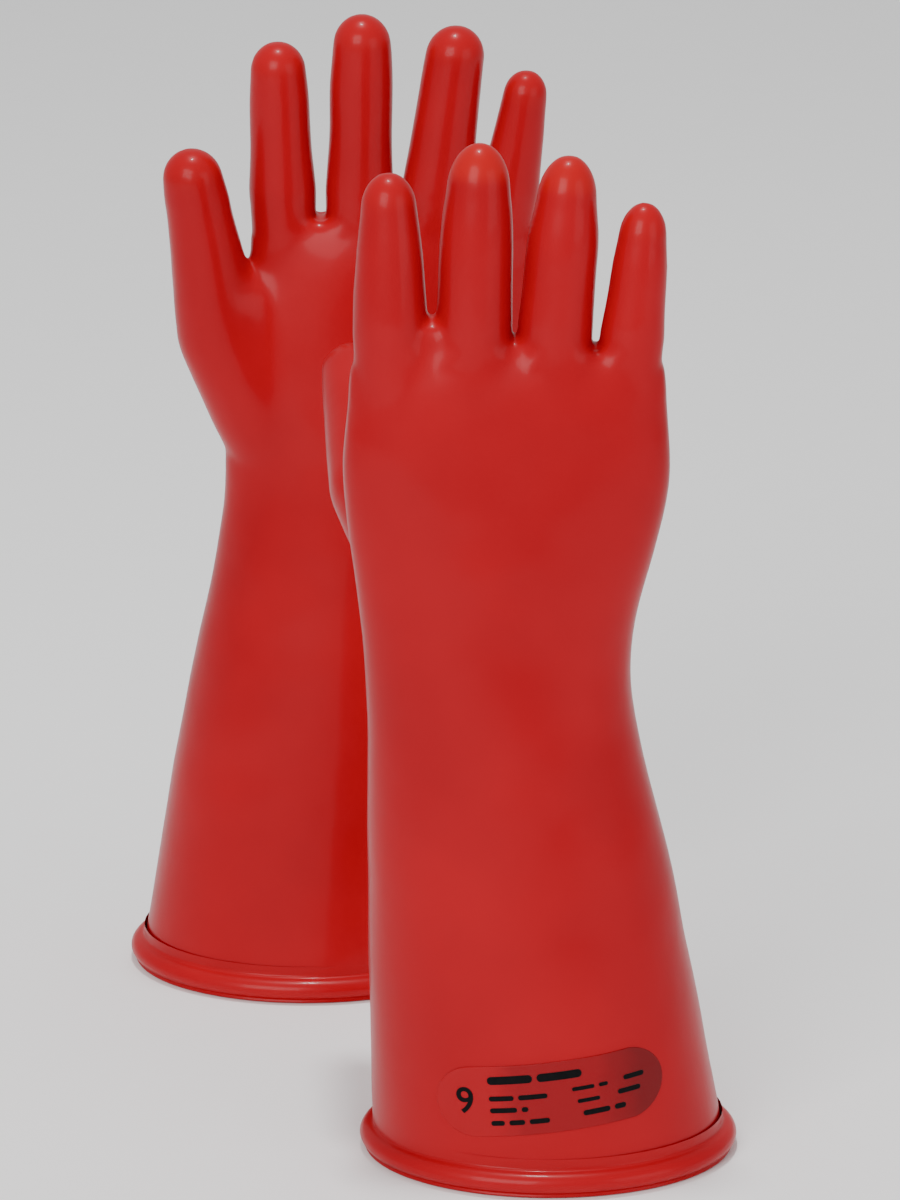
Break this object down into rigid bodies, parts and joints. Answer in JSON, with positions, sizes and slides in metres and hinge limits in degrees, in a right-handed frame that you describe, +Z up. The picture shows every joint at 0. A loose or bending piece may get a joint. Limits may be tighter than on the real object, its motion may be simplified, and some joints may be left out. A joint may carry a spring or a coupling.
{
  "type": "electrical insulating gloves",
  "caption": "Pair of long red rubber insulating gloves with flared gauntlets and rolled cuff beads, standing on their cuffs; wrists, fingers and thumbs bend.",
  "frame": {"origin": "on the floor under the middle of the pair", "axes": "+Z up along the gloves, from cuffs to fingertips; -Y is the side of the right glove's back and of the left glove's palm; thumbs towards -X"},
  "size_m": [0.2138, 0.2878, 0.3519],
  "materials": {
    "rubber_skin": "glossy dipped natural rubber",
    "rubber_bead": "glossy rolled natural rubber",
    "label_film": "glossy translucent red film with black print"
  },
  "bodies": {
    "right_gauntlet": {"right_gauntlet": "rubber_skin", "right_cuff_bead": "rubber_bead", "right_label": "label_film", "right_wrist_fold": "rubber_skin"},
    "right_hand": {"right_palm": "rubber_skin", "right_knuckles": "rubber_skin", "right_index_fold": "rubber_skin", "right_middle_fold": "rubber_skin", "right_ring_fold": "rubber_skin", "right_little_fold": "rubber_skin", "right_thumb_fold": "rubber_skin"},
    "right_index": {"right_index_tip": "rubber_skin"},
    "right_middle": {"right_middle_tip": "rubber_skin"},
    "right_ring": {"right_ring_tip": "rubber_skin"},
    "right_little": {"right_little_tip": "rubber_skin"},
    "right_thumb": {"right_thumb_tip": "rubber_skin"},
    "left_gauntlet": {"left_gauntlet": "rubber_skin", "left_cuff_bead": "rubber_bead", "left_label": "label_film", "left_wrist_fold": "rubber_skin"},
    "left_hand": {"left_palm": "rubber_skin", "left_knuckles": "rubber_skin", "left_index_fold": "rubber_skin", "left_middle_fold": "rubber_skin", "left_ring_fold": "rubber_skin", "left_little_fold": "rubber_skin", "left_thumb_fold": "rubber_skin"},
    "left_index": {"left_index_tip": "rubber_skin"},
    "left_middle": {"left_middle_tip": "rubber_skin"},
    "left_ring": {"left_ring_tip": "rubber_skin"},
    "left_little": {"left_little_tip": "rubber_skin"},
    "left_thumb": {"left_thumb_tip": "rubber_skin"}
  },
  "joints": [
    {"name": "right_wrist", "type": "hinge", "parent": "right_gauntlet", "child": "right_hand", "pos_m": [0.02619, -0.0915, 0.1535], "axis": [-1, 0, 0], "range_deg": [-35, 30], "stiffness_Nm_per_rad": 3, "deforming": ["right_wrist_fold"]},
    {"name": "right_index_flex", "type": "hinge", "parent": "right_hand", "child": "right_index", "pos_m": [-0.01077, -0.09069, 0.30147], "axis": [-1, 0, 0], "range_deg": [-10, 65], "stiffness_Nm_per_rad": 0.3, "deforming": ["right_index_fold"]},
    {"name": "right_middle_flex", "type": "hinge", "parent": "right_hand", "child": "right_middle", "pos_m": [0.01721, -0.09063, 0.30246], "axis": [-1, 0, 0], "range_deg": [-10, 65], "stiffness_Nm_per_rad": 0.3, "deforming": ["right_middle_fold"]},
    {"name": "right_ring_flex", "type": "hinge", "parent": "right_hand", "child": "right_ring", "pos_m": [0.04485, -0.09066, 0.30194], "axis": [-1, 0, 0], "range_deg": [-10, 65], "stiffness_Nm_per_rad": 0.3, "deforming": ["right_ring_fold"]},
    {"name": "right_little_flex", "type": "hinge", "parent": "right_hand", "child": "right_little", "pos_m": [0.07053, -0.09081, 0.29943], "axis": [-1, 0, 0], "range_deg": [-10, 65], "stiffness_Nm_per_rad": 0.3, "deforming": ["right_little_fold"]},
    {"name": "right_thumb_flex", "type": "hinge", "parent": "right_hand", "child": "right_thumb", "pos_m": [-0.02132, -0.02883, 0.24026], "axis": [-1, 0, 0], "range_deg": [-35, 15], "stiffness_Nm_per_rad": 0.35, "deforming": ["right_thumb_fold"]},
    {"name": "left_glove_lift", "type": "slide", "parent": "right_gauntlet", "child": "left_gauntlet", "axis": [0, 0, 1], "range_m": [0, 0.4]},
    {"name": "left_wrist", "type": "hinge", "parent": "left_gauntlet", "child": "left_hand", "pos_m": [-0.02963, 0.0915, 0.1535], "axis": [-1, 0, 0], "range_deg": [-25, 35], "stiffness_Nm_per_rad": 3, "deforming": ["left_wrist_fold"]},
    {"name": "left_index_flex", "type": "hinge", "parent": "left_hand", "child": "left_index", "pos_m": [-0.0504, 0.09096, 0.30148], "axis": [1, 0, 0], "range_deg": [-10, 65], "stiffness_Nm_per_rad": 0.3, "deforming": ["left_index_fold"]},
    {"name": "left_middle_flex", "type": "hinge", "parent": "left_hand", "child": "left_middle", "pos_m": [-0.02258, 0.09092, 0.30249], "axis": [1, 0, 0], "range_deg": [-10, 65], "stiffness_Nm_per_rad": 0.3, "deforming": ["left_middle_fold"]},
    {"name": "left_ring_flex", "type": "hinge", "parent": "left_hand", "child": "left_ring", "pos_m": [0.0061, 0.09094, 0.30187], "axis": [1, 0, 0], "range_deg": [-10, 65], "stiffness_Nm_per_rad": 0.3, "deforming": ["left_ring_fold"]},
    {"name": "left_little_flex", "type": "hinge", "parent": "left_hand", "child": "left_little", "pos_m": [0.0317, 0.09105, 0.29936], "axis": [1, 0, 0], "range_deg": [-10, 65], "stiffness_Nm_per_rad": 0.3, "deforming": ["left_little_fold"]},
    {"name": "left_thumb_flex", "type": "hinge", "parent": "left_hand", "child": "left_thumb", "pos_m": [-0.07757, 0.08258, 0.27138], "axis": [1, 0, 0], "range_deg": [-10, 45], "stiffness_Nm_per_rad": 0.35, "deforming": ["left_thumb_fold"]}
  ]
}
